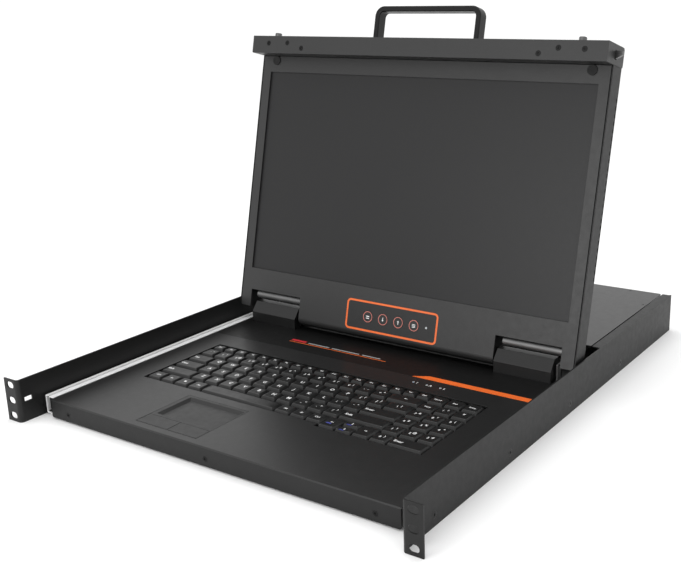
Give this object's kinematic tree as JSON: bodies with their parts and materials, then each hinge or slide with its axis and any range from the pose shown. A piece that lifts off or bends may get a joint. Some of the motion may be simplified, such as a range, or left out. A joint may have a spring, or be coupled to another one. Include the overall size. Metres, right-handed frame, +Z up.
{
  "type": "rack console drawer",
  "caption": "One-unit rack console drawer with slide-out keyboard and touchpad tray, flip-up flat screen with pull handle, and a rear switch module.",
  "frame": {"origin": "midpoint of the four outer rack-ear slots, on the front plane of the ears", "axes": "+Z up, +X to the right as seen by the person at the keyboard, -Y out of the rack towards that person"},
  "size_m": [0.4826, 0.58, 0.3812],
  "materials": {
    "case_black": "fine textured powder coat",
    "tray_black": "fine textured powder coat",
    "deck_black": "smooth semi-gloss film",
    "lid_black": "fine textured powder coat",
    "hinge_black": "moulded satin plastic",
    "key_black": "moulded satin plastic",
    "touch_black": "fine matt touch surface",
    "screen_dark": "matt anti-glare screen, switched off",
    "accent_orange": "printed satin film",
    "osd_black": "matt overlay film",
    "button_black": "matt button with printed ring",
    "lens_clear": "small clear lens",
    "zinc": "bright zinc-plated steel",
    "latch_steel": "dark steel latch bolt and knob",
    "satin_grey": "satin grey finish",
    "screw_dark": "blackened steel",
    "spacer_black": "black plastic",
    "inlet_black": "moulded plastic",
    "board_green": "solder mask",
    "tin_grey": "plated sheet",
    "port_metal": "nickel-plated steel",
    "bumper_black": "matt rubber"
  },
  "bodies": {
    "case": {"left_side_rail": "case_black", "right_side_rail": "case_black", "chassis_floor": "case_black", "slide_spacers": "spacer_black", "slide_outer_members": "zinc", "rail_screws": "screw_dark"},
    "slide_left": {"slide_middle_left": "zinc"},
    "slide_right": {"slide_middle_right": "zinc"},
    "drawer": {"slide_inner_members": "zinc", "drawer_pan": "tray_black", "top_panel": "tray_black", "rear_deck": "deck_black", "accent_stripe": "accent_orange", "status_lenses": "lens_clear", "keyboard_base": "tray_black", "touchpad": "touch_black", "hinge_covers": "hinge_black", "hinge_brackets": "satin_grey", "drawer_screws": "screw_dark", "module_cover": "tray_black", "rear_panel": "tray_black", "main_board": "board_green", "power_supply": "tin_grey", "power_inlet": "inlet_black", "server_ports": "port_metal"},
    "lid": {"lid_shell": "lid_black", "lid_bezel": "lid_black", "lcd_panel": "screen_dark", "osd_panel": "osd_black", "osd_frame": "accent_orange", "osd_lens": "lens_clear", "front_bar": "lid_black", "handle": "lid_black", "bar_screws": "screw_dark", "lid_bumpers": "bumper_black", "hinge_bars": "satin_grey"},
    "latch_left": {"latch_left": "latch_steel"},
    "latch_right": {"latch_right": "latch_steel"},
    "touchpad_button_left": {"touchpad_button_left": "touch_black"},
    "touchpad_button_right": {"touchpad_button_right": "touch_black"},
    "power_rocker": {"power_rocker": "inlet_black"},
    "osd_button_1": {"osd_button_1": "button_black"},
    "osd_button_2": {"osd_button_2": "button_black"},
    "osd_button_3": {"osd_button_3": "button_black"},
    "osd_button_4": {"osd_button_4": "button_black"},
    "keys_function_row": {"keys_function_row": "key_black"},
    "keys_number_row": {"keys_number_row": "key_black"},
    "keys_upper_letters": {"keys_upper_letters": "key_black"},
    "keys_home_letters": {"keys_home_letters": "key_black"},
    "keys_lower_letters": {"keys_lower_letters": "key_black"},
    "keys_modifiers": {"keys_modifiers": "key_black"},
    "keys_number_pad": {"keys_number_pad": "key_black"},
    "key_space": {"key_space": "key_black"},
    "key_enter": {"key_enter": "key_black"},
    "key_backspace": {"key_backspace": "key_black"},
    "key_right_shift": {"key_right_shift": "key_black"},
    "key_arrow_up": {"key_arrow_up": "key_black"},
    "key_arrow_down": {"key_arrow_down": "key_black"},
    "key_arrow_left": {"key_arrow_left": "key_black"},
    "key_arrow_right": {"key_arrow_right": "key_black"}
  },
  "joints": [
    {"name": "drawer_slide", "type": "slide", "parent": "case", "child": "drawer", "axis": [0, -1, 0], "range_m": [0, 0.4]},
    {"name": "slide_left_travel", "type": "slide", "parent": "case", "child": "slide_left", "axis": [0, -1, 0], "range_m": [0, 0.2]},
    {"name": "slide_right_travel", "type": "slide", "parent": "case", "child": "slide_right", "axis": [0, -1, 0], "range_m": [0, 0.2]},
    {"name": "lid_hinge", "type": "hinge", "parent": "drawer", "child": "lid", "pos_m": [0, 0.321, 0.0096], "axis": [1, 0, 0], "range_deg": [-12, 103.5]},
    {"name": "latch_left_slide", "type": "slide", "parent": "lid", "child": "latch_left", "axis": [1, 0, 0], "range_m": [0, 0.0075], "stiffness_N_per_m": 250, "springref_m": -0.006},
    {"name": "latch_right_slide", "type": "slide", "parent": "lid", "child": "latch_right", "axis": [-1, 0, 0], "range_m": [0, 0.0075], "stiffness_N_per_m": 250, "springref_m": -0.006},
    {"name": "osd_button_1_press", "type": "slide", "parent": "lid", "child": "osd_button_1", "axis": [0, 0.9724, -0.2334], "range_m": [0, 0.0008], "stiffness_N_per_m": 800, "springref_m": -0.001},
    {"name": "osd_button_2_press", "type": "slide", "parent": "lid", "child": "osd_button_2", "axis": [0, 0.9724, -0.2334], "range_m": [0, 0.0008], "stiffness_N_per_m": 800, "springref_m": -0.001},
    {"name": "osd_button_3_press", "type": "slide", "parent": "lid", "child": "osd_button_3", "axis": [0, 0.9724, -0.2334], "range_m": [0, 0.0008], "stiffness_N_per_m": 800, "springref_m": -0.001},
    {"name": "osd_button_4_press", "type": "slide", "parent": "lid", "child": "osd_button_4", "axis": [0, 0.9724, -0.2334], "range_m": [0, 0.0008], "stiffness_N_per_m": 800, "springref_m": -0.001},
    {"name": "touchpad_button_left_press", "type": "slide", "parent": "drawer", "child": "touchpad_button_left", "axis": [0, 0, -1], "range_m": [0, 0.0006], "stiffness_N_per_m": 800, "springref_m": -0.001},
    {"name": "touchpad_button_right_press", "type": "slide", "parent": "drawer", "child": "touchpad_button_right", "axis": [0, 0, -1], "range_m": [0, 0.0006], "stiffness_N_per_m": 800, "springref_m": -0.001},
    {"name": "keys_function_row_press", "type": "slide", "parent": "drawer", "child": "keys_function_row", "axis": [0, 0, -1], "range_m": [0, 0.002], "stiffness_N_per_m": 400, "springref_m": -0.0012},
    {"name": "keys_number_row_press", "type": "slide", "parent": "drawer", "child": "keys_number_row", "axis": [0, 0, -1], "range_m": [0, 0.002], "stiffness_N_per_m": 400, "springref_m": -0.0012},
    {"name": "keys_upper_letters_press", "type": "slide", "parent": "drawer", "child": "keys_upper_letters", "axis": [0, 0, -1], "range_m": [0, 0.002], "stiffness_N_per_m": 400, "springref_m": -0.0012},
    {"name": "keys_home_letters_press", "type": "slide", "parent": "drawer", "child": "keys_home_letters", "axis": [0, 0, -1], "range_m": [0, 0.002], "stiffness_N_per_m": 400, "springref_m": -0.0012},
    {"name": "keys_lower_letters_press", "type": "slide", "parent": "drawer", "child": "keys_lower_letters", "axis": [0, 0, -1], "range_m": [0, 0.002], "stiffness_N_per_m": 400, "springref_m": -0.0012},
    {"name": "keys_modifiers_press", "type": "slide", "parent": "drawer", "child": "keys_modifiers", "axis": [0, 0, -1], "range_m": [0, 0.002], "stiffness_N_per_m": 400, "springref_m": -0.0012},
    {"name": "keys_number_pad_press", "type": "slide", "parent": "drawer", "child": "keys_number_pad", "axis": [0, 0, -1], "range_m": [0, 0.002], "stiffness_N_per_m": 400, "springref_m": -0.0012},
    {"name": "key_space_press", "type": "slide", "parent": "drawer", "child": "key_space", "axis": [0, 0, -1], "range_m": [0, 0.002], "stiffness_N_per_m": 400, "springref_m": -0.0012},
    {"name": "key_enter_press", "type": "slide", "parent": "drawer", "child": "key_enter", "axis": [0, 0, -1], "range_m": [0, 0.002], "stiffness_N_per_m": 400, "springref_m": -0.0012},
    {"name": "key_backspace_press", "type": "slide", "parent": "drawer", "child": "key_backspace", "axis": [0, 0, -1], "range_m": [0, 0.002], "stiffness_N_per_m": 400, "springref_m": -0.0012},
    {"name": "key_right_shift_press", "type": "slide", "parent": "drawer", "child": "key_right_shift", "axis": [0, 0, -1], "range_m": [0, 0.002], "stiffness_N_per_m": 400, "springref_m": -0.0012},
    {"name": "key_arrow_up_press", "type": "slide", "parent": "drawer", "child": "key_arrow_up", "axis": [0, 0, -1], "range_m": [0, 0.002], "stiffness_N_per_m": 400, "springref_m": -0.0012},
    {"name": "key_arrow_down_press", "type": "slide", "parent": "drawer", "child": "key_arrow_down", "axis": [0, 0, -1], "range_m": [0, 0.002], "stiffness_N_per_m": 400, "springref_m": -0.0012},
    {"name": "key_arrow_left_press", "type": "slide", "parent": "drawer", "child": "key_arrow_left", "axis": [0, 0, -1], "range_m": [0, 0.002], "stiffness_N_per_m": 400, "springref_m": -0.0012},
    {"name": "key_arrow_right_press", "type": "slide", "parent": "drawer", "child": "key_arrow_right", "axis": [0, 0, -1], "range_m": [0, 0.002], "stiffness_N_per_m": 400, "springref_m": -0.0012},
    {"name": "power_rocker_tilt", "type": "hinge", "parent": "drawer", "child": "power_rocker", "pos_m": [-0.128, 0.571, -0.001], "axis": [0, 0, 1], "range_deg": [0, 14]}
  ],
  "couplings": [
    {"joint": "slide_left_travel", "follows": "drawer_slide", "ratio": 0.5},
    {"joint": "slide_right_travel", "follows": "drawer_slide", "ratio": 0.5}
  ]
}
